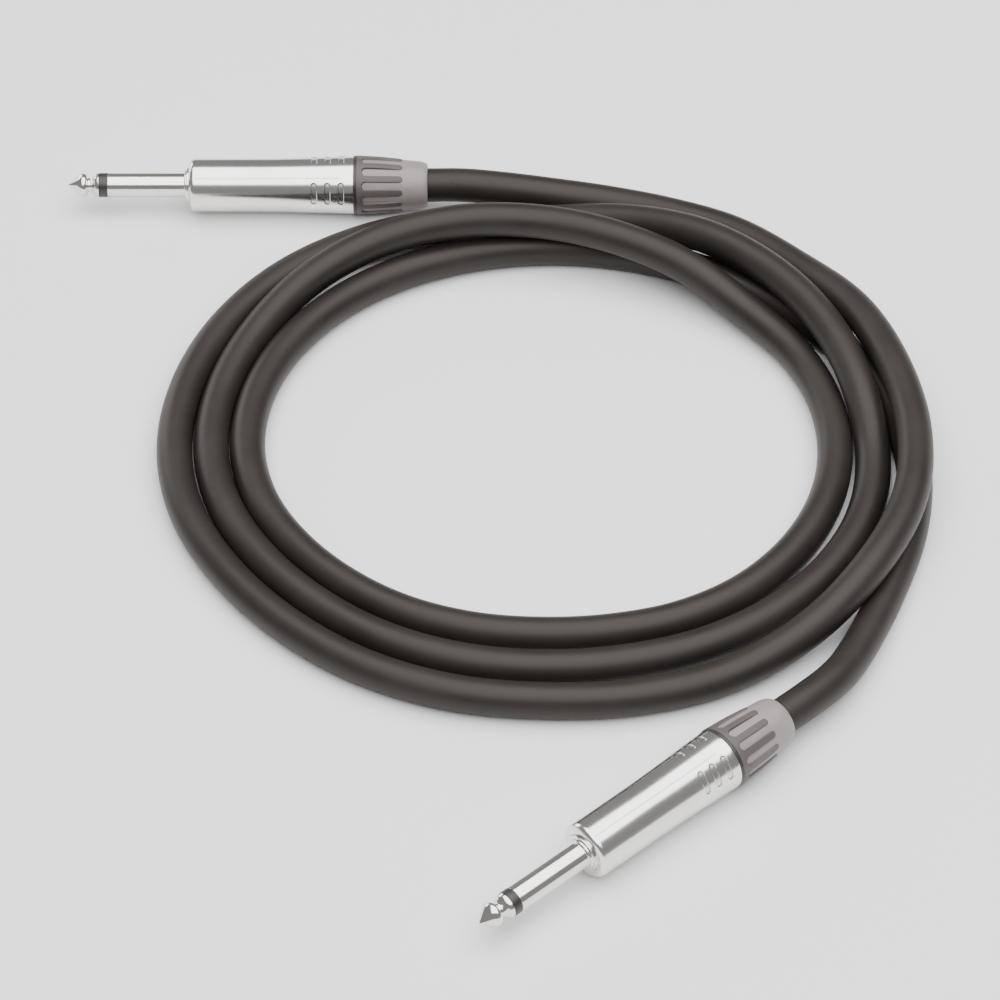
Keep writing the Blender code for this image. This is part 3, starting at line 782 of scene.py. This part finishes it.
def build_plug(letter, rear, points_to, roll, looks, made):
    """Lays a plug's visible parts over its CAD nodes, and gives the CAD nodes inside it their materials."""
    place = plug_frame(rear, points_to, roll)
    parts = (
        ("tip", "tip_contact", "root", "contact_nickel"),
        ("tip_ring", "tip_insulator", "root", "insulator_black"),
        ("finger", "sleeve", "root", "contact_nickel"),
        ("shell_body", "shell", "root", "shell_nickel"),
        ("seal", "seal_ring", "root", "insulator_black"),
        ("nut_boot", "gland_nut", f"nut_{letter}", "nut_grey"),
        ("nut_grip_rubber", "nut_grip", f"nut_{letter}", "grip_dark_grey"),
    )
    pieces = []
    for source, node, body, slot in parts:
        piece = bpy.data.objects.new(f"{source}_{letter}", made[source].data)
        bpy.context.collection.objects.link(piece)
        piece.matrix_world = place
        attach(piece, body)
        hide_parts(f"{node}_{letter}")
        pieces.append(piece)
    kept = {
        "shell_liner": "liner",
        "rear_insulator": "liner",
        "cable_collet": "liner",
        "tip_terminal": "brass",
        "ground_terminal": "brass",
        "tip_solder": "solder",
        "ground_solder": "solder",
        "inner_core": "core",
        "shield_pigtail": "copper",
    }
    for node, look in kept.items():
        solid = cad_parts[f"{node}_{letter}"]
        solid.data.materials.clear()
        solid.data.materials.append(looks[look])
    return pieces


def build_plugs(looks):
    """Both plugs share the meshes made here. Gives the pieces of plug B, which end the cable."""
    made = {
        "tip": tip_contact(looks["contact"]),
        "tip_ring": tip_insulator(looks["black"]),
        "finger": finger_sleeve(looks["contact"]),
        "shell_body": shell(looks["shell"]),
        "seal": seal_ring(looks["black"]),
        "nut_boot": gland_nut(looks["boot"]),
        "nut_grip_rubber": nut_grip(looks["grip"]),
    }
    build_plug("a", REAR_A, POINTS_A, ROLL_A, looks, made)
    far_plug = build_plug("b", REAR_B, POINTS_B, ROLL_B, looks, made)
    for master in made.values():
        bpy.data.objects.remove(master, do_unlink=True)
    return far_plug


def build_cable(looks):
    """The whole cable as one cord, from plug A to plug B."""
    line = cable_line()
    cable, length = swept("cable", line, CABLE_RADIUS, 32, looks["jacket"])
    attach(cable, "root")
    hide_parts("cable_coil", "cable_lead_a", "cable_lead_b")


def add_camera():
    """A long lens in front of the coil, which looks down at it."""
    data = bpy.data.cameras.new("camera")
    data.lens = VIEW_LENS
    data.sensor_width = 36.0
    data.clip_start = 0.01
    camera = bpy.data.objects.new("camera", data)
    bpy.context.collection.objects.link(camera)
    back = Vector((0.0, -math.cos(VIEW_ELEVATION), math.sin(VIEW_ELEVATION)))
    camera.location = VIEW_TARGET + back * VIEW_DISTANCE
    camera.rotation_euler = (math.pi / 2 - VIEW_ELEVATION, 0.0, 0.0)
    bpy.context.scene.camera = camera


def add_soft_box(name, place, target, size, power):
    """A rectangular soft light that faces the target."""
    data = bpy.data.lights.new(name, "AREA")
    data.shape = "RECTANGLE"
    data.size, data.size_y = size
    data.energy = power
    light = bpy.data.objects.new(name, data)
    bpy.context.collection.objects.link(light)
    light.location = place
    light.rotation_euler = (place - target).to_track_quat("Z", "Y").to_euler()


def add_studio():
    """The pale floor, one large light above, a small one at the far left, and a dim even background."""
    shape = bmesh.new()
    bmesh.ops.create_grid(shape, x_segments=8, y_segments=8, size=3.0)
    floor = add_mesh("studio_floor", shape, floor_finish())
    under_light = Vector((0.22, -0.15, 0.0))
    add_soft_box("overhead", under_light + Vector((0.0, 0.0, 1.10)), under_light, (1.66, 1.90), 45.0)
    add_soft_box("far_left", Vector((-0.92, 1.06, 0.40)), COIL_CENTRE, (0.80, 0.46), 6.0)
    world = bpy.data.worlds.new("studio")
    world.use_nodes = True
    background = world.node_tree.nodes["Background"]
    background.inputs["Color"].default_value = (0.80, 0.79, 0.78, 1.0)
    background.inputs["Strength"].default_value = 0.35
    bpy.context.scene.world = world


def main():
    add_camera()
    looks = {
        "jacket": cable_jacket(),
        "contact": polished_nickel(),
        "shell": shell_nickel(),
        "black": moulded("insulator_black", (0.016, 0.015, 0.014), (0.028, 0.026, 0.025), 0.38),
        "boot": moulded("nut_grey", (0.225, 0.197, 0.190), (0.268, 0.238, 0.230), 0.40),
        "grip": moulded("grip_dark_grey", (0.070, 0.059, 0.056), (0.092, 0.079, 0.075), 0.50),
        "liner": moulded("liner_plastic", (0.50, 0.49, 0.47), (0.60, 0.59, 0.57), 0.45),
        "core": moulded("core_insulation", (0.70, 0.69, 0.66), (0.78, 0.77, 0.74), 0.4),
        "brass": stamped_metal("terminal_brass", (0.60, 0.44, 0.22), (0.74, 0.58, 0.32), 0.28),
        "solder": stamped_metal("solder", (0.52, 0.52, 0.51), (0.68, 0.68, 0.67), 0.25),
        "copper": twisted_copper(),
    }
    far_plug = build_plugs(looks)
    build_cable(looks)
    add_studio()


main()
